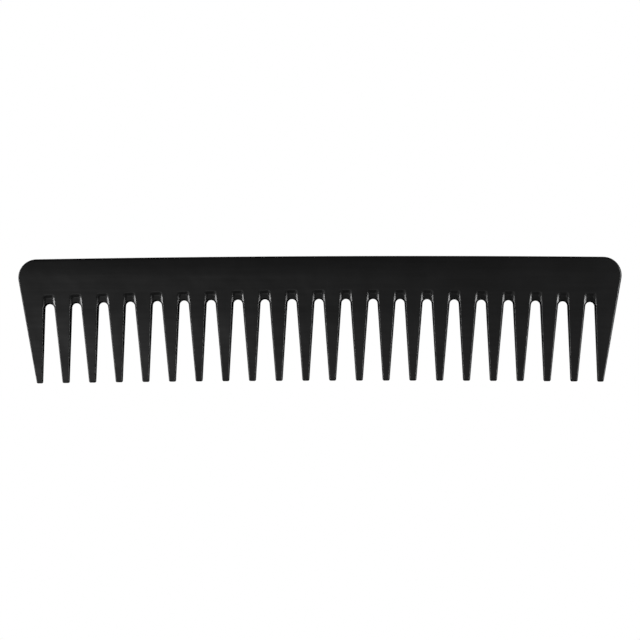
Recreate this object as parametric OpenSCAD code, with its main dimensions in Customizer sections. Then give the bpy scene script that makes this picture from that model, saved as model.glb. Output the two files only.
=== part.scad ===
// Wide tooth comb, moulded in one piece: a bowed back with tapered teeth fanned below it.
// It lies flat with its length along X, its back towards +Y and its teeth towards -Y.
// The origin is at the centre of its outline, on the surface that it lies on.

/* [Overall] */
// Length from end to end
comb_len = 190; // [150:1:230]
// Height from the middle of the back to the tips of the end teeth
comb_h = 39.8; // [33:0.1:48]
// How far the back droops at its ends, below its middle
bow = 0.68; // [0.2:0.02:2]
// Radius of the two top corners, at the parting line
corner_r = 5.8; // [3:0.1:8]
// Lean of the two end sides from upright, in degrees
end_lean = 10; // [6:0.5:12]

/* [Back] */
// Height of the back over the middle gap
spine_h = 13.5; // [11:0.1:17]
// How much lower the end gaps start than the middle gap
crown_droop = 1.3; // [0:0.05:2]

/* [Gaps and teeth] */
// Number of gaps; the teeth are one more
gap_count = 21; // [15:1:24]
// Radius of the round crown of a gap
crown_r = 1.4; // [1.1:0.02:2]
// Turn of each gap from its neighbour, in degrees
fan_step = 0.2; // [0:0.01:0.3]
// Width of a tooth at its tip
tip_w = 2.1; // [1.5:0.05:2.6]
// Width of an end tooth at its tip
end_tip_w = 2; // [1.5:0.05:2.6]
// Radius of the corners of a tip
tip_r = 0.55; // [0.45:0.05:0.7]

/* [Pockets above the crowns] */
// Length of a pocket above its crown
pocket_len = 3; // [2:0.1:4]
// Depth of a pocket in each face
pocket_depth = 0.55; // [0.4:0.05:0.9]
// How far each side of a pocket's floor stands in from the side of the crown
pocket_inset = 0.25; // [0.2:0.05:0.6]
// Length of the slope at the top end of a pocket
pocket_end = 0.5; // [0.3:0.05:1]

/* [Thickness] */
// Thickness at the roots of the teeth
root_t = 4.6; // [3.8:0.1:6]
// Thickness along the top of the back
back_t = 3.4; // [2.6:0.1:3.7]
// Thickness at the tips of the teeth
tip_t = 2.6; // [2:0.1:2.9]
// Flat land above the middle crown, before the back starts to thin
land_up = 7; // [4:0.1:8]
// Flat land below the middle crown, before the teeth start to thin
land_down = 6; // [3:0.1:8]
// Draft of every side wall from the parting line to the face, in degrees
draft = 10.5; // [8:0.5:21]

/* [Hidden] */
tooth_count = gap_count + 1;
half_len = comb_len / 2;
half_t = root_t / 2;               // the parting line lies halfway up
top_y = comb_h / 2;                // middle of the back
low_y = -comb_h / 2;               // tips of the end teeth
crown_top_y = top_y - spine_h;     // crown of the middle gap
middle_gap = (gap_count + 1) / 2;
back_steps = 6;                    // flats along each half of the bowed back
land_steps = 5;                    // flats across the crowned face of the back
corner_flats = 8;                  // flats round each top corner
tip_flats = 3;                     // flats round each corner of a tip
reach = 1.5 * comb_len;            // larger than the comb, for cutting half-spaces
margin = 2;                        // how far a block stands past the walls that trim it
web_over = half_t * tan(draft) + 0.3;    // how far a web reaches over its crowns
plastic = [0.07, 0.07, 0.075];
$fn = 96;

// The bowed back: its height at x, and the way that it faces there
function back_y(x) = top_y - bow * pow(x / half_len, 2);
function back_heading(x) = 90 - atan(2 * bow * x / pow(half_len, 2));

// The right top corner: its centre, and the place where it meets the back
corner_heading = back_heading(half_len - corner_r);
corner_x = half_len - corner_r;
back_end_x = corner_x + corner_r * cos(corner_heading);
corner = [corner_x, back_y(back_end_x) - corner_r * sin(corner_heading)];
side_point = corner + corner_r * [cos(end_lean), -sin(end_lean)];
function side_x(y) = side_point.x - (side_point.y - y) * tan(end_lean);

// Pitch of the gaps at the tips, so that the row leaves end_tip_w at each end
tip_depth = crown_top_y - crown_r - low_y;
droop_share = crown_droop / tip_depth;
row_half = side_x(low_y) - end_tip_w - crown_droop * tan(fan_step * (gap_count - middle_gap));
tip_pitch = (2 * row_half - 2 * droop_share * crown_r + (1 - droop_share) * tip_w)
    / (gap_count - droop_share);
// Half-angle of a gap, which leaves tip_w between neighbours at the tips
flank = atan(((tip_pitch - tip_w) / 2 - crown_r) / tip_depth);

// Gap g runs from 1 at the left to gap_count at the right, and the fan closes towards the tips
gap_pitch = tip_pitch + tip_depth * tan(fan_step);
function gap_turn(g) = fan_step * (g - middle_gap);
function gap_x(g) = gap_pitch * (g - middle_gap);
function crown_y(g) = crown_top_y - crown_droop * pow((g - middle_gap) / (gap_count - middle_gap), 2);
function gap_centre(g) = [gap_x(g), crown_y(g) - crown_r];

// A flank of gap g: side is 1 for its right flank and -1 for its left
function flank_lean(g, side) = side * flank - gap_turn(g);
function flank_point(g, side) =
    gap_centre(g) + side * crown_r * [cos(flank_lean(g, side)), sin(flank_lean(g, side))];
function flank_x(g, side, y) =
    flank_point(g, side).x + (flank_point(g, side).y - y) * tan(flank_lean(g, side));

// The tips follow the bow of the back, and the end teeth reach lowest
end_tip_x = (side_x(low_y) + flank_x(gap_count, 1, low_y)) / 2;
function tip_y(x) = low_y + bow * (pow(end_tip_x, 2) - pow(x, 2)) / pow(half_len, 2);

// Tooth i has gap i - 1 on its left and gap i on its right
function is_first(i) = i == 1;
function is_last(i) = i == tooth_count;
function left_point(i) = is_first(i)
    ? [-side_x(flank_point(1, -1).y), flank_point(1, -1).y] : flank_point(i - 1, 1);
function right_point(i) = is_last(i)
    ? [side_x(flank_point(gap_count, 1).y), flank_point(gap_count, 1).y] : flank_point(i, -1);
function left_lean(i) = is_first(i) ? end_lean : flank_lean(i - 1, 1);
function right_lean(i) = is_last(i) ? -end_lean : flank_lean(i, -1);
function left_x(i, y) = left_point(i).x + (left_point(i).y - y) * tan(left_lean(i));
function right_x(i, y) = right_point(i).x + (right_point(i).y - y) * tan(right_lean(i));
function tooth_tip_x(i) = (left_x(i, low_y) + right_x(i, low_y)) / 2;
function along_root(i) = (right_point(i) - left_point(i)) / norm(right_point(i) - left_point(i));

// A web stands between two gaps, from the root line of its tooth to a line over the crowns
function web_left(i) = is_first(i) ? -half_len - margin : gap_x(i - 1);
function web_right(i) = is_last(i) ? half_len + margin : gap_x(i);
function web_top(g) = crown_y(g) + web_over;
function root_y(i, x) = left_point(i).y + (x - left_point(i).x) * along_root(i).y / along_root(i).x;

function two_digits(i) = i < 10 ? str("0", i) : str(i);
function tooth_name(i) = is_first(i) ? "end_tooth_left"
    : is_last(i) ? "end_tooth_right" : str("tooth_", two_digits(i));
function web_name(i) = str("web_", two_digits(i));

// Air beyond a wall that faces heading, drafted both ways from the parting line at point
module wall_air(point, heading) {
    translate([point.x, point.y, half_t]) rotate(heading)
        for (half = [0, 1]) mirror([0, 0, half]) rotate([0, -draft, 0])
            translate([0, -reach, -reach]) cube([reach, 2 * reach, 2 * reach]);
}

// Air beyond a drafted round corner, as flats between the headings of its two walls
module corner_air(centre, r, from, to, flats) {
    for (k = [1:flats]) let (heading = from + (to - from) * (k - 0.5) / flats)
        wall_air(centre + r * [cos(heading), sin(heading)], heading);
}

// Thickness of the whole comb, seen from its end: flat at the roots, thinner both ways
module thickness() {
    land_top_y = crown_top_y + land_up;
    land_low_y = crown_top_y - land_down;
    thin = (root_t - back_t) / 2;
    back_curve = [for (k = [0:land_steps]) let (u = k / land_steps)
        [land_top_y + u * (top_y - land_top_y), thin * u * u]];
    last = len(back_curve) - 1;
    rotate([90, 0, 90]) translate([0, 0, -half_len - margin])
        linear_extrude(comb_len + 2 * margin) polygon(concat(
            [[low_y, (root_t - tip_t) / 2], [land_low_y, 0]],
            back_curve,
            [for (k = [last:-1:0]) [back_curve[k].x, root_t - back_curve[k].y]],
            [[land_low_y, root_t], [low_y, (root_t + tip_t) / 2]]
        ));
}

// Air in the round crown of gap g, between drafted walls
module crown_air(g) {
    rise = half_t + margin;
    translate([gap_x(g), gap_centre(g).y, half_t]) rotate(-gap_turn(g))
        for (half = [0, 1]) mirror([0, 0, half])
            cylinder(h = rise, r1 = crown_r, r2 = crown_r + rise * tan(draft));
}

// Air in the pockets over the crown of gap g: a flat floor, sides at 45 degrees and a sloped top end
module pocket_air(g) {
    over = 1;
    top = crown_r + pocket_len;
    floor_z = half_t - pocket_depth;
    floor_w = crown_r - pocket_inset;
    lift = pocket_depth + over;
    end_run = pocket_end / pocket_depth;
    translate([gap_x(g), gap_centre(g).y, half_t]) rotate(-gap_turn(g))
        for (half = [0, 1]) mirror([0, 0, half]) intersection() {
            translate([0, top + over, 0]) rotate([90, 0, 0]) linear_extrude(top + over) polygon([
                [-floor_w, floor_z],
                [floor_w, floor_z],
                [floor_w + lift, floor_z + lift],
                [-floor_w - lift, floor_z + lift]
            ]);
            rotate([90, 0, 90]) translate([0, 0, -reach / 2]) linear_extrude(reach) polygon([
                [-over, 0],
                [top - half_t * end_run, 0],
                [top + 2 * over * end_run, half_t + 2 * over],
                [-over, half_t + 2 * over]
            ]);
        }
}

// Air beyond the two leaning ends
module end_air() {
    for (end = [0, 1]) mirror([end, 0, 0]) wall_air(side_point, -end_lean);
}

// The back, over the webs
module spine() {
    past = half_len + margin;
    web_line = [for (g = [1:gap_count]) [gap_x(g), web_top(g)]];
    color(plastic) difference() {
        intersection() {
            linear_extrude(root_t) polygon(concat(
                [[-past, web_top(1)]], web_line, [[past, web_top(gap_count)]],
                [[past, top_y + margin], [-past, top_y + margin]]
            ));
            thickness();
        }
        for (k = [-back_steps:back_steps]) let (x = back_end_x * k / back_steps)
            wall_air([x, back_y(x)], back_heading(x));
        end_air();
        for (end = [0, 1]) mirror([end, 0, 0])
            corner_air(corner, corner_r, -end_lean, corner_heading, corner_flats);
        for (g = [1:gap_count]) pocket_air(g);
    }
}

// Web i, between two crowns, which carries tooth i
module web(i) {
    gaps = [for (g = [i - 1, i]) if (g >= 1 && g <= gap_count) g];
    color(plastic) difference() {
        intersection() {
            linear_extrude(root_t) polygon([
                [web_left(i), root_y(i, web_left(i))],
                [web_right(i), root_y(i, web_right(i))],
                [web_right(i), web_top(gaps[len(gaps) - 1])],
                [web_left(i), web_top(gaps[0])]
            ]);
            thickness();
        }
        if (is_first(i) || is_last(i)) end_air();
        for (g = gaps) {
            crown_air(g);
            pocket_air(g);
        }
    }
}

// Tooth i, from its flat root face to its tip
module tooth(i) {
    tip = [tooth_tip_x(i), tip_y(tooth_tip_x(i))];
    corner_y = tip.y + tip_r;
    tip_left = [left_x(i, corner_y) + tip_r / cos(left_lean(i)), corner_y];
    tip_right = [right_x(i, corner_y) - tip_r / cos(right_lean(i)), corner_y];
    color(plastic) difference() {
        intersection() {
            linear_extrude(root_t) polygon([
                left_point(i) - margin * along_root(i),
                right_point(i) + margin * along_root(i),
                [right_point(i).x + margin, low_y - margin],
                [left_point(i).x - margin, low_y - margin]
            ]);
            thickness();
        }
        wall_air(left_point(i), left_lean(i) + 180);
        wall_air(right_point(i), right_lean(i));
        wall_air(tip, -90);
        corner_air(tip_left, tip_r, 180 + left_lean(i), 270, tip_flats);
        corner_air(tip_right, tip_r, -90, right_lean(i), tip_flats);
    }
}

spine();
for (i = [1:tooth_count]) web(i);
for (i = [1:tooth_count]) tooth(i);
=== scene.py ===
import math

import bpy
import numpy as np
from mathutils import Matrix, Vector


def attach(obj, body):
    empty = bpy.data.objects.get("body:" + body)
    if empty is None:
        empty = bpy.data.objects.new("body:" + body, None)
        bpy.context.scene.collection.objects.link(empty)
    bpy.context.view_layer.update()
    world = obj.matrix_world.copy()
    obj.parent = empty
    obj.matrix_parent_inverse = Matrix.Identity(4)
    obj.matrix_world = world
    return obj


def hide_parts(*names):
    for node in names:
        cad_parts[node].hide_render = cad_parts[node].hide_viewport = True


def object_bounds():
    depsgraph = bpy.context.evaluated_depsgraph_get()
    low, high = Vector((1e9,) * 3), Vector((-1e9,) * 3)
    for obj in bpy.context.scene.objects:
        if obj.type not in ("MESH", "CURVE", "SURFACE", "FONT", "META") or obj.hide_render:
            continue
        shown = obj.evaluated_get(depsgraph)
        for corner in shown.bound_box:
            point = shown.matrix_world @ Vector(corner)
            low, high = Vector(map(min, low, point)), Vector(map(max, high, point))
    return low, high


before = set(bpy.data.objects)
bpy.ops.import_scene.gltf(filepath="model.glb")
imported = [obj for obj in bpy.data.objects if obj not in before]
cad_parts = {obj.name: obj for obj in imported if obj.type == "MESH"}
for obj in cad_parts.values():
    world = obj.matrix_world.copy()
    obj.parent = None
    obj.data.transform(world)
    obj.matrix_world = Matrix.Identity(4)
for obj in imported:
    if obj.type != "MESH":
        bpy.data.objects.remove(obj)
cadLow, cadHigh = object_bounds()
mm = 0.001
print("frame loaded:", len(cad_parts), "nodes")


# the comb's outline, in millimetres, as the frame has it
comb = {
    "length": 190.0,
    "height": 39.8,
    "bow": 0.68,            # the back droops this much at its ends
    "cornerRadius": 5.8,
    "endLean": 10.0,        # degrees from upright
    "backHeight": 13.5,     # over the middle gap
    "crownDroop": 1.3,
    "gapCount": 21,
    "crownRadius": 1.4,
    "fanStep": 0.2,         # degrees from gap to gap
    "tipWidth": 2.1,
    "endTipWidth": 2.0,
    "tipRadius": 0.55,
    "rootThickness": 4.6,
    "backThickness": 3.4,
    "tipThickness": 2.6,
    "landUp": 7.0,          # flat face above the middle crown
    "landDown": 6.0,        # and below it
    "draft": 10.5,          # degrees, from the parting line to each face
}
midHeight = (cadLow.z + cadHigh.z) / 2 / mm    # the parting line lies halfway up

halfLength = comb["length"] / 2
topY = comb["height"] / 2
lowY = -topY
halfThick = comb["rootThickness"] / 2
crownTopY = topY - comb["backHeight"]
gapCount = comb["gapCount"]
toothCount = gapCount + 1
middleGap = (gapCount + 1) / 2
crownRadius = comb["crownRadius"]
endLean = math.radians(comb["endLean"])
draft = math.radians(comb["draft"])


def backY(x):
    return topY - comb["bow"] * (x / halfLength) ** 2


def backHeading(x):
    return math.pi / 2 - np.arctan(2 * comb["bow"] * x / halfLength ** 2)


cornerRadius = comb["cornerRadius"]
cornerHeading = float(backHeading(halfLength - cornerRadius))
backEndX = halfLength - cornerRadius + cornerRadius * math.cos(cornerHeading)
corner = np.array([halfLength - cornerRadius, backY(backEndX) - cornerRadius * math.sin(cornerHeading)])
sidePoint = corner + cornerRadius * np.array([math.cos(endLean), -math.sin(endLean)])


def sideX(y):
    return sidePoint[0] - (sidePoint[1] - y) * math.tan(endLean)


tipDepth = crownTopY - crownRadius - lowY
droopShare = comb["crownDroop"] / tipDepth
endTurn = math.radians(comb["fanStep"] * (gapCount - middleGap))
rowHalf = sideX(lowY) - comb["endTipWidth"] - comb["crownDroop"] * math.tan(endTurn)
tipPitch = ((2 * rowHalf - 2 * droopShare * crownRadius + (1 - droopShare) * comb["tipWidth"])
            / (gapCount - droopShare))
flank = math.atan(((tipPitch - comb["tipWidth"]) / 2 - crownRadius) / tipDepth)
gapPitch = tipPitch + tipDepth * math.tan(math.radians(comb["fanStep"]))


def gapTurn(g):
    return np.radians(comb["fanStep"] * (g - middleGap))


def gapX(g):
    return gapPitch * (g - middleGap)


def gapY(g):    # height of a crown's centre
    return crownTopY - comb["crownDroop"] * ((g - middleGap) / (gapCount - middleGap)) ** 2 - crownRadius


def flankPoint(g, side):
    heading = side * flank - gapTurn(g)
    outward = np.array([math.cos(heading), math.sin(heading)])
    return np.array([gapX(g), gapY(g)]) + side * crownRadius * outward


def flankX(g, side, y):
    p = flankPoint(g, side)
    return p[0] + (p[1] - y) * np.tan(side * flank - gapTurn(g))


def leftPoint(i):    # where the left wall of tooth i begins
    if i == 1:
        y = flankPoint(1, -1)[1]
        return np.array([-sideX(y), y])
    return flankPoint(i - 1, 1)


def rightPoint(i):
    if i == toothCount:
        y = flankPoint(gapCount, 1)[1]
        return np.array([sideX(y), y])
    return flankPoint(i, -1)


def leftX(i, y):
    return -sideX(y) if i == 1 else flankX(i - 1, 1, y)


def rightX(i, y):
    return sideX(y) if i == toothCount else flankX(i, -1, y)


endTipX = (sideX(lowY) + flankX(gapCount, 1, lowY)) / 2


def tipY(i):
    x = (leftX(i, lowY) + rightX(i, lowY)) / 2
    return lowY + comb["bow"] * (endTipX ** 2 - x ** 2) / halfLength ** 2


tipHeights = np.array([tipY(i) for i in range(1, toothCount + 1)])


# the moulded surface: its height over the parting line at any point of the outline
face = {
    "edgeRadius": 0.22,    # between a wall and the face
    "rootBlend": 2.5,      # half-length of the bend where the teeth begin to thin
}
pocket = {
    "length": 2.9,          # from the crown to the top of the pocket
    "halfWidth": 2.05,      # at its foot
    "narrowing": 0.012,     # how it closes towards its top
    "narrowFrom": -1.0,     # height over the crown's centre where that starts
    "topDepth": 0.50,
    "crownDepth": 0.58,
    "sideSlope": 0.82,
    "endSlope": 0.5,
    "cornerSoftness": 0.5,  # where its sides meet its end
    "floorSoftness": 0.12,
    "rimSoftness": 0.06,
}


def softMin(a, b, k):
    return np.minimum(a, b) - np.maximum(k - np.abs(a - b), 0) ** 2 / (4 * k)


def softRamp(t, k):    # t above nought, rounded where it starts
    return np.where(t > k, t, np.where(t < -k, 0, (t + k) ** 2 / (4 * k)))


def faceHeight(y):
    landTop, landLow = crownTopY + comb["landUp"], crownTopY - comb["landDown"]
    rise = np.maximum(y - landTop, 0) / (topY - landTop)
    thinBack = (comb["rootThickness"] - comb["backThickness"]) / 2
    slope = (comb["rootThickness"] - comb["tipThickness"]) / 2 / (landLow - lowY)
    return halfThick - thinBack * rise ** 2 - slope * softRamp(landLow - y, face["rootBlend"])


def roundedEdge(top, inward):    # height where a drafted wall rounds over to the face
    r, s = face["edgeRadius"], math.sin(draft)
    fromWall = (inward - top * math.tan(draft)) * math.cos(draft)
    lean = np.maximum(r - fromWall, 0)
    middle = r + lean * s
    drop = (middle - np.sqrt(np.maximum(middle ** 2 - (1 + s * s) * lean ** 2, 0))) / (1 + s * s)
    return np.where(fromWall > -r * s, top - drop, inward / math.tan(draft))


def inGap(x, y, g):    # a point in the gap's own axes, from the centre of its crown
    turn = gapTurn(g)
    dx, dy = x - gapX(g), y - gapY(g)
    return dx * np.cos(turn) - dy * np.sin(turn), dx * np.sin(turn) + dy * np.cos(turn)


def gapDistance(u, v):
    u = np.abs(u)
    onFlank = u * math.cos(flank) + v * math.sin(flank)
    return np.where(v >= u * math.tan(flank), np.hypot(u, v), onFlank) - crownRadius


def pocketDepth(u, v):
    along = (v - crownRadius) / pocket["length"]
    floor = pocket["crownDepth"] + (pocket["topDepth"] - pocket["crownDepth"]) * along
    width = pocket["halfWidth"] - pocket["narrowing"] * np.maximum(v - pocket["narrowFrom"], 0) ** 2
    sides = (width - np.abs(u)) * pocket["sideSlope"]
    end = (crownRadius + pocket["length"] - v) * pocket["endSlope"]
    walls = softMin(sides, end, pocket["cornerSoftness"])
    return softRamp(softMin(walls, floor, pocket["floorSoftness"]), pocket["rimSoftness"])


def outerDistance(x, y):
    x = np.abs(x)
    side = (sidePoint[0] - x) * math.cos(endLean) + (y - sidePoint[1]) * math.sin(endLean)
    back = (backY(x) - y) * np.sin(backHeading(x))
    dx, dy = x - corner[0], y - corner[1]
    around = np.arctan2(dy, dx)
    inCorner = (around > -endLean) & (around < cornerHeading)
    return np.where(inCorner, cornerRadius - np.hypot(dx, dy), np.minimum(side, back))


def surfaceHeight(x, y):
    nearest = np.clip(np.round(x / gapPitch + middleGap), 1, gapCount)
    walls = outerDistance(x, y)
    depth = np.zeros_like(x)
    for step in (-1, 0, 1):
        u, v = inGap(x, y, np.clip(nearest + step, 1, gapCount))
        walls = np.minimum(walls, gapDistance(u, v))
        depth = np.maximum(depth, pocketDepth(u, v))
    # the tip of the tooth below this point, with its corners rounded in plan
    tooth = np.clip(np.round(x / tipPitch + middleGap + 0.5), 1, toothCount).astype(int)
    tip = y - tipHeights[tooth - 1]
    r = comb["tipRadius"]
    inTipCorner = (tip < r) & (walls < r)
    walls = np.where(inTipCorner, r - np.hypot(r - walls, r - tip), np.minimum(walls, tip))
    return roundedEdge(faceHeight(y) - depth, walls)


meshing = {
    "slopeReach": 0.004,    # a slope is taken over this much each way, in millimetres
    "weldSteps": 5000,      # points are joined on a grid with this many steps to a millimetre
    "upSteps": 12,          # from the middle of a root up to the back's own line
    "overSteps": 14,        # and along that line, for each gap
    "lineRise": 3.9,        # how far above the crowns the line runs
    "innerCount": 23,       # rows from a rounded edge to that line
    "innerBias": 1.1,       # over 1 crowds them towards the edge
    "innerKept": [0, 3, 6, 10, 14, 18, 22],    # the few that a tooth needs
    "wallSteps": np.array([0, 0.5, 1]),        # up a wall, then round its edge
    "roundSteps": np.array([-0.13, -0.06, 0.02, 0.12, 0.24, 0.40, 0.60, 0.80, 1.0]),
    "crownSettle": 5,       # columns that ease a crown's rows onto the root lines
    "endSettle": 4,         # and the same at the ends of the back
    "sideSteps": 5,
    "cornerSteps": 14,
    "tipTurns": [0, 12, 25, 38, 52, 66, 78, 90],    # degrees round the corner of a tip
    "nearTip": [0.66, 0.80, 1.0, 1.3, 1.8],         # rows above the tip, in millimetres
    "toothRows": 25,
    "wallShare": 0.8,       # walls take at most this share of half a tooth
}


def surfaceNormal(x, y):
    e = meshing["slopeReach"]
    dx = (surfaceHeight(x + e, y) - surfaceHeight(x - e, y)) / (2 * e)
    dy = (surfaceHeight(x, y + e) - surfaceHeight(x, y - e)) / (2 * e)
    n = np.stack([-dx, -dy, np.ones_like(x)], axis=-1)
    return n / np.linalg.norm(n, axis=-1, keepdims=True)


def gridFaces(grid):    # corner points of each cell of a grid of points
    return np.stack([grid[:-1, :-1], grid[1:, :-1], grid[1:, 1:], grid[:-1, 1:]], axis=2).reshape(-1, 4, 3)


def closedPiece(name, grids, rootRows, rootFacing, material):
    # grids hold x, y and height over the parting line, with height 0 all along the outline
    corners, normals = [], []
    for grid in grids:
        cells = gridFaces(grid)
        x, y = cells[:, :, 0], cells[:, :, 1]
        area = sum(x[:, k] * y[:, (k + 1) % 4] - x[:, (k + 1) % 4] * y[:, k] for k in range(4))
        cells[area < 0] = cells[area < 0][:, ::-1]
        n = surfaceNormal(cells[:, :, 0], cells[:, :, 1])
        corners.append(cells)
        normals.append(n)
        down = np.array([1, 1, -1])
        corners.append(cells[:, ::-1] * down)
        normals.append(n[:, ::-1] * down)
    for row in rootRows:
        strip = np.stack([row, row * np.array([1, 1, -1])])
        cells = gridFaces(strip)
        facing = np.cross(cells[:, 1] - cells[:, 0], cells[:, 3] - cells[:, 0])
        facing += np.cross(cells[:, 3] - cells[:, 2], cells[:, 1] - cells[:, 2])
        wrong = facing[:, 1] * rootFacing < 0
        cells[wrong] = cells[wrong][:, ::-1]
        corners.append(cells)
        normals.append(np.broadcast_to([0.0, float(rootFacing), 0.0], cells.shape))
    corners, normals = np.concatenate(corners), np.concatenate(normals)
    keys = np.round(corners.reshape(-1, 3) * meshing["weldSteps"]).astype(np.int64)
    _, first, index = np.unique(keys, axis=0, return_index=True, return_inverse=True)
    points = corners.reshape(-1, 3)[first] + [0, 0, midHeight]
    faces, loopNormals = [], []
    for quad, n in zip(index.reshape(-1, 4), normals):
        kept = [k for k in range(4) if quad[k] != quad[k - 1]]
        if len(kept) > 2:
            faces.append([int(quad[k]) for k in kept])
            loopNormals.extend(tuple(n[k]) for k in kept)
    mesh = bpy.data.meshes.new(name)
    mesh.from_pydata((points * mm).tolist(), [], faces)
    mesh.shade_smooth()
    mesh.normals_split_custom_set(loopNormals)
    mesh.materials.append(material)
    piece = bpy.data.objects.new(name, mesh)
    bpy.context.scene.collection.objects.link(piece)
    return piece


def heighten(grid, edges):    # adds heights to a grid of x, y, with 0 on the edges marked
    z = surfaceHeight(grid[..., 0], grid[..., 1])
    z[edges] = 0
    return np.concatenate([grid, z[..., None]], axis=-1)


def edgeStepsAt(height):    # how far in from an outline the rows of a grid stand
    run, r = height * math.tan(draft), face["edgeRadius"]
    foot = run - r * math.sin(draft)
    return np.concatenate([meshing["wallSteps"] * foot, run + r * meshing["roundSteps"]])


edgeSteps = edgeStepsAt(halfThick)    # at the roots
evenSteps = np.linspace(0, 1, meshing["innerCount"])
innerSteps = evenSteps ** meshing["innerBias"]
innerKept = meshing["innerKept"]
upSteps, overSteps = meshing["upSteps"], meshing["overSteps"]


def lineY(x):    # the back's own line, which its grids share
    return crownTopY + meshing["lineRise"] - comb["crownDroop"] * (x / gapX(gapCount)) ** 2


def rootHalf(i, side, kept=None):    # points along half of a root line, from its wall to its middle
    a, b = (leftPoint(i), rightPoint(i)) if side < 0 else (rightPoint(i), leftPoint(i))
    middle = (a + b) / 2
    reach = np.linalg.norm(middle - a)
    inner = innerSteps if kept is None else innerSteps[kept]
    steps = np.concatenate([edgeSteps, edgeSteps[-1] + (reach - edgeSteps[-1]) * inner[1:]])
    return a + (middle - a) / reach * steps[:, None]


def backLine(a, b, over):    # up from the root middle a, along the back's own line and down to b
    up = np.linspace(0, 1, upSteps + 1)
    rise = np.stack([np.full(upSteps, a[0]), a[1] + (lineY(a[0]) - a[1]) * up[:-1]], axis=-1)
    fall = np.stack([np.full(upSteps, b[0]), b[1] + (lineY(b[0]) - b[1]) * up[-2::-1]], axis=-1)
    return np.concatenate([rise, np.stack([over, lineY(over)], axis=-1), fall])


def meetRoots(edge, left, right, count):    # eases the first and last columns onto the root lines
    settle = np.clip(1 - np.arange(edge.shape[1]) / count, 0, 1)[:, None]
    edge = edge + settle * (left[:len(edgeSteps), None] - edge[:, :1])
    return edge + settle[::-1] * (right[:len(edgeSteps), None] - edge[:, -1:])


def spanned(edge, line, steps, left, right):    # the grid from a rounded edge to the back's own line
    inner = edge[-1] + (line - edge[-1]) * steps[1:, None, None]
    grid = np.concatenate([edge, inner])
    grid[:, 0], grid[:, -1] = left, right
    edges = np.zeros(grid.shape[:2], bool)
    edges[0] = True
    return heighten(grid, edges)


def gapCell(g):    # the back round one crown, from the middle of one root to the middle of the next
    n = 2 * upSteps + overSteps
    heading = np.linspace(math.pi - flank, flank, n + 1) - gapTurn(g)
    outward = np.stack([np.cos(heading), np.sin(heading)], axis=-1)
    centre = np.array([gapX(g), gapY(g)])
    left, right = rootHalf(g, 1), rootHalf(g + 1, -1)
    over = np.linspace(left[-1][0], right[-1][0], overSteps + 1)
    line = backLine(left[-1], right[-1], over)
    edge = centre + (crownRadius + edgeSteps[:, None, None]) * outward
    edge = meetRoots(edge, left, right, meshing["crownSettle"])
    return spanned(edge, line, innerSteps, left, right)


def outerStrip():    # the back along its ends, corners and bowed edge
    sideSteps, cornerSteps = meshing["sideSteps"], meshing["cornerSteps"]
    low = leftPoint(1)
    side = np.array([-sidePoint[0], sidePoint[1]])
    points = [low + (side - low) * k / sideSteps for k in range(sideSteps)]
    inward = [np.array([math.cos(endLean), math.sin(endLean)])] * sideSteps
    for h in np.linspace(math.pi + endLean, math.pi - cornerHeading, cornerSteps + 1):
        out = np.array([math.cos(h), math.sin(h)])
        points.append(np.array([-corner[0], corner[1]]) + cornerRadius * out)
        inward.append(-out)
    # the strip needs as many points here as on the back's own line
    backSteps = gapCount * overSteps + 2 * (upSteps - sideSteps - cornerSteps)
    for x in np.linspace(-backEndX, 0, backSteps // 2 + 1)[1:]:
        h = float(backHeading(x))
        points.append(np.array([x, backY(x)]))
        inward.append(-np.array([math.cos(h), math.sin(h)]))
    flip = np.array([-1, 1])
    points = np.array(points + [p * flip for p in points[-2::-1]])
    inward = np.array(inward + [v * flip for v in inward[-2::-1]])
    steps = np.stack([edgeStepsAt(float(h)) for h in faceHeight(points[:, 1])], axis=1)
    edge = points + steps[:, :, None] * inward
    left, right = rootHalf(1, -1), rootHalf(toothCount, 1)
    edge = meetRoots(edge, left, right, meshing["endSettle"])
    over = []
    for g in range(1, gapCount + 1):
        over.extend(np.linspace(rootHalf(g, 1)[-1][0], rootHalf(g + 1, -1)[-1][0], overSteps + 1)[:-1])
    line = backLine(left[-1], right[-1], np.array(over + [right[-1][0]]))
    return spanned(edge, line, evenSteps, left, right)


def toothGrid(i):    # rows from the root line down to the tip
    low = tipHeights[i - 1]
    r = comb["tipRadius"]
    rounded = r * (1 - np.cos(np.radians(meshing["tipTurns"])))
    near = meshing["nearTip"]
    left, right = leftPoint(i), rightPoint(i)
    reachUp = min(left[1], right[1]) - low
    far = np.linspace(near[-1], reachUp, meshing["toothRows"])[1:-1]
    above = np.concatenate([rounded, near, far])[::-1]
    rows = [np.concatenate([rootHalf(i, -1, innerKept), rootHalf(i, 1, innerKept)[-2::-1]])]
    for h in above:
        y = low + h
        share = h / reachUp
        yLeft = low + (left[1] - low) * share
        yRight = low + (right[1] - low) * share
        xLeft, xRight = leftX(i, yLeft), rightX(i, yRight)
        if h < r:
            bend = r - math.sqrt(max(r * r - (r - h) ** 2, 0))
            xLeft, xRight = leftX(i, low + r) + bend, rightX(i, low + r) - bend
        a, b = np.array([xLeft, yLeft]), np.array([xRight, yRight])
        middle = (a + b) / 2
        reach = np.linalg.norm(middle - a)
        steps = edgeStepsAt(float(faceHeight(np.array(y))))
        steps = steps * min(1, meshing["wallShare"] * reach / steps[-1])
        steps = np.concatenate([steps, steps[-1] + (reach - steps[-1]) * innerSteps[innerKept][1:]]) / reach
        half = a + (middle - a) * steps[:, None]
        other = b + (middle - b) * steps[::-1, None]
        rows.append(np.concatenate([half, other[1:]]))
    grid = np.array(rows)
    edges = np.zeros(grid.shape[:2], bool)
    edges[:, 0] = edges[:, -1] = edges[-1] = True
    return heighten(grid, edges)


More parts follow.
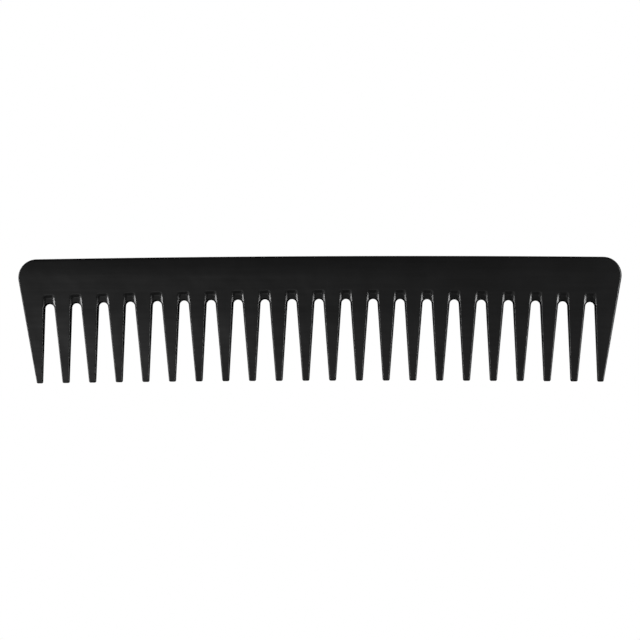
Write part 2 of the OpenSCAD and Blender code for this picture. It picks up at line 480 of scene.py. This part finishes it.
# satin faces with soft patches and flow streaks, and edges that use has polished
plastic = {
    "dark": (0.0026, 0.0026, 0.0028),
    "light": (0.0150, 0.0150, 0.0155),
    "polished": 0.27,                          # roughness where hands and hair have rubbed it
    "satin": 0.50,
    "cloudSize": 0.011,                        # the soft patches that the mould left, in metres
    "cloudHeight": 0.00022,
    "flowSize": (0.030, 0.0011, 0.0011),    # faint streaks along the comb, where the plastic flowed
    "flowHeight": 0.000014,
    "grainSize": 0.00028,
    "grainHeight": 0.0000022,
    "scratchSize": (0.00022, 0.016, 0.016),    # hairlines that run with the teeth
    "scratchTurn": 0.03,
    "scratchRange": (0.67, 0.72),              # how rare they are, and how soft
    "scratchDepth": 0.000003,
    "wearStart": (0.25, 0.5),                  # slants of the surface between which polish comes in
    "wearEnd": (0.8, 0.93),                    # and goes out
    "wearPatch": 0.75,                         # the least of it in a cloud's dull part
    "smoothLeft": 0.05,                        # how much of the relief stays where it is polished
    "smoothFull": 0.6,
    "shade": {"clouds": 0.7, "flow": 0.3, "wear": 0.9},    # shares in the step from dark to light
    "polish": {"wear": 0.9, "clouds": 0.3, "flow": 0.08, "grain": 0.08, "scratches": 0.2},
}


def satinPlastic():
    material = bpy.data.materials.new("satinBlackPlastic")
    material.use_nodes = True
    nodes, links = material.node_tree.nodes, material.node_tree.links
    shader = nodes["Principled BSDF"]
    place = nodes.new("ShaderNodeTexCoord").outputs["Object"]

    def noise(size, detail, turn=0.0):    # size is one length, or one for each axis
        sizes = size if isinstance(size, tuple) else (size,) * 3
        mapping = nodes.new("ShaderNodeMapping")
        mapping.inputs["Rotation"].default_value = (0, 0, turn)
        mapping.inputs["Scale"].default_value = [1 / v for v in sizes]
        texture = nodes.new("ShaderNodeTexNoise")
        texture.inputs["Scale"].default_value = 1
        texture.inputs["Detail"].default_value = detail
        links.new(place, mapping.inputs["Vector"])
        links.new(mapping.outputs[0], texture.inputs["Vector"])
        return texture.outputs[0]

    def ramp(value, fromMin, fromMax, toMin, toMax):
        node = nodes.new("ShaderNodeMapRange")
        for slot, number in zip(node.inputs[1:5], (fromMin, fromMax, toMin, toMax)):
            slot.default_value = number
        links.new(value, node.inputs[0])
        return node.outputs[0]

    def join(kind, a, b):
        node = nodes.new("ShaderNodeMath")
        node.operation = kind
        links.new(a, node.inputs[0])
        if isinstance(b, float):
            node.inputs[1].default_value = b
        else:
            links.new(b, node.inputs[1])
        return node.outputs[0]

    usual, narrow, wide = (0.35, 0.65), (0.4, 0.6), (0.3, 0.7)    # parts of a noise's range
    clouds = noise(plastic["cloudSize"], 2)
    flow = noise(plastic["flowSize"], 1)
    grain = noise(plastic["grainSize"], 2)
    hairlines = noise(plastic["scratchSize"], 1, plastic["scratchTurn"])
    scratches = ramp(hairlines, *plastic["scratchRange"], 0, 1)

    # edges and corners: neither flat like the faces nor upright like the walls
    facing = nodes.new("ShaderNodeSeparateXYZ")
    links.new(nodes.new("ShaderNodeNewGeometry").outputs["Normal"], facing.inputs[0])
    slant = join("ABSOLUTE", facing.outputs["Z"], 0.0)
    rising = ramp(slant, *plastic["wearStart"], 0, 1)
    falling = ramp(slant, *plastic["wearEnd"], 1, 0)
    patchy = ramp(clouds, usual[0], narrow[1], plastic["wearPatch"], 1)
    wear = join("MULTIPLY", join("MULTIPLY", rising, falling), patchy)

    tone = nodes.new("ShaderNodeMix")
    tone.data_type = "RGBA"
    tone.inputs[6].default_value = (*plastic["dark"], 1)
    tone.inputs[7].default_value = (*plastic["light"], 1)
    shade = plastic["shade"]
    patches = join("ADD", ramp(clouds, *usual, 0, shade["clouds"]), ramp(flow, *usual, 0, shade["flow"]))
    links.new(join("MAXIMUM", patches, join("MULTIPLY", wear, shade["wear"])), tone.inputs[0])
    links.new(tone.outputs[2], shader.inputs["Base Color"])

    polish = plastic["polish"]
    gloss = join("ADD", join("MULTIPLY", wear, polish["wear"]), ramp(flow, *narrow, 0, polish["flow"]))
    gloss = join("ADD", gloss, ramp(clouds, *usual, 0, polish["clouds"]))
    gloss = join("ADD", gloss, ramp(grain, *wide, 0, polish["grain"]))
    gloss = join("SUBTRACT", gloss, join("MULTIPLY", scratches, polish["scratches"]))
    links.new(ramp(gloss, 0, 1, plastic["satin"], plastic["polished"]), shader.inputs["Roughness"])

    height = join("ADD", join("MULTIPLY", clouds, plastic["cloudHeight"]),
                  join("MULTIPLY", flow, plastic["flowHeight"]))
    height = join("ADD", height, join("MULTIPLY", grain, plastic["grainHeight"]))
    height = join("SUBTRACT", height, join("MULTIPLY", scratches, plastic["scratchDepth"]))
    bump = nodes.new("ShaderNodeBump")
    links.new(ramp(wear, 0, plastic["smoothFull"], 1, plastic["smoothLeft"]), bump.inputs["Strength"])
    bump.inputs["Distance"].default_value = 1
    links.new(height, bump.inputs["Height"])
    links.new(bump.outputs[0], shader.inputs["Normal"])
    return material


plasticMaterial = satinPlastic()
print("material made")


def rootRow(i, kept=None):
    row = np.concatenate([rootHalf(i, -1, kept), rootHalf(i, 1, kept)[-2::-1]])
    edges = np.zeros(len(row), bool)
    edges[0] = edges[-1] = True
    return heighten(row, edges)


grids = [gapCell(g) for g in range(1, gapCount + 1)] + [outerStrip()]
back = closedPiece("back", grids, [rootRow(i) for i in range(1, toothCount + 1)], -1, plasticMaterial)
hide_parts("spine", *[f"web_{i:02d}" for i in range(1, toothCount + 1)])
print("back made:", len(back.data.polygons), "faces")
pieces = [back]
for i in range(1, toothCount + 1):
    node = "end_tooth_left" if i == 1 else "end_tooth_right" if i == toothCount else f"tooth_{i:02d}"
    name = "toothLeftEnd" if i == 1 else "toothRightEnd" if i == toothCount else f"tooth{i:02d}"
    tooth = closedPiece(name, [toothGrid(i)], [rootRow(i, innerKept)], 1, plasticMaterial)
    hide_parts(node)
    pieces.append(tooth)
for piece in pieces:
    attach(piece, "root")
print("teeth made:", toothCount)


floorSettings = {
    "size": 20.0,
    "drop": 0.00002,    # under the comb, so that the two faces don't fight
    "glow": 1.0,        # the even pale tone that is seen of it
    "paint": 0.03,      # what the comb sees of it
}


def makeFloor():
    half = floorSettings["size"] / 2
    mesh = bpy.data.meshes.new("floor")
    square = [(-half, -half, 0), (half, -half, 0), (half, half, 0), (-half, half, 0)]
    mesh.from_pydata(square, [], [(0, 1, 2, 3)])
    floor = bpy.data.objects.new("floor", mesh)
    bpy.context.scene.collection.objects.link(floor)
    floor.location.z = cadLow.z - floorSettings["drop"]
    material = bpy.data.materials.new("paleFloor")
    material.use_nodes = True
    nodes, links = material.node_tree.nodes, material.node_tree.links
    nodes.clear()
    glow = nodes.new("ShaderNodeEmission")
    glow.inputs["Strength"].default_value = floorSettings["glow"]
    paint = nodes.new("ShaderNodeBsdfDiffuse")
    paint.inputs["Color"].default_value = (*[floorSettings["paint"]] * 3, 1)
    path = nodes.new("ShaderNodeLightPath")
    mix = nodes.new("ShaderNodeMixShader")
    links.new(path.outputs["Is Camera Ray"], mix.inputs[0])
    links.new(paint.outputs[0], mix.inputs[1])
    links.new(glow.outputs[0], mix.inputs[2])
    output = nodes.new("ShaderNodeOutputMaterial")
    links.new(mix.outputs[0], output.inputs[0])
    mesh.materials.append(material)


makeFloor()

lights = {
    "left": {"place": (-0.34, -0.01, 0.034), "size": (0.24, 0.07), "power": 0.86},
    "right": {"place": (0.24, -0.01, 0.026), "size": (0.20, 0.06), "power": 0.50},
    "above": {"place": (-0.36, -0.34, 1.00), "size": (0.4, 0.3), "power": 1.6},
}


def makeLight(name, place, size, power):
    data = bpy.data.lights.new(name, "AREA")
    data.shape = "RECTANGLE"
    data.size, data.size_y = size
    data.energy = power
    light = bpy.data.objects.new(name, data)
    bpy.context.scene.collection.objects.link(light)
    light.location = place
    light.rotation_euler = (-Vector(place)).to_track_quat("-Z", "Y").to_euler()


for name, settings in lights.items():
    makeLight(name, **settings)

studio = {"white": (1, 1, 1, 1), "strength": 0.07}
world = bpy.data.worlds.new("studio")
world.use_nodes = True
world.node_tree.nodes["Background"].inputs["Color"].default_value = studio["white"]
world.node_tree.nodes["Background"].inputs["Strength"].default_value = studio["strength"]
bpy.context.scene.world = world
bpy.context.scene.view_settings.view_transform = "Standard"

camera = {
    "place": (0.0286, -0.0003, 0.860),
    "target": (0.0003, -0.0002, 0.0023),
    "lens": 153.4,       # millimetres, as the sensor
    "sensor": 36,
    "roll": -0.22,       # degrees
    "clip": (0.01, 20),
}


def makeCamera():
    data = bpy.data.cameras.new("camera")
    data.lens = camera["lens"]
    data.sensor_width = camera["sensor"]
    data.clip_start, data.clip_end = camera["clip"]
    view = bpy.data.objects.new("camera", data)
    bpy.context.scene.collection.objects.link(view)
    place, target = Vector(camera["place"]), Vector(camera["target"])
    aim = (target - place).normalized()
    right = aim.cross(Vector((0, 1, 0))).normalized()
    up = right.cross(aim)
    turned = Matrix((right, up, -aim)).transposed().to_4x4()
    turned = turned @ Matrix.Rotation(math.radians(camera["roll"]), 4, "Z")
    view.matrix_world = Matrix.Translation(place) @ turned
    bpy.context.scene.camera = view


makeCamera()
print("stage made")
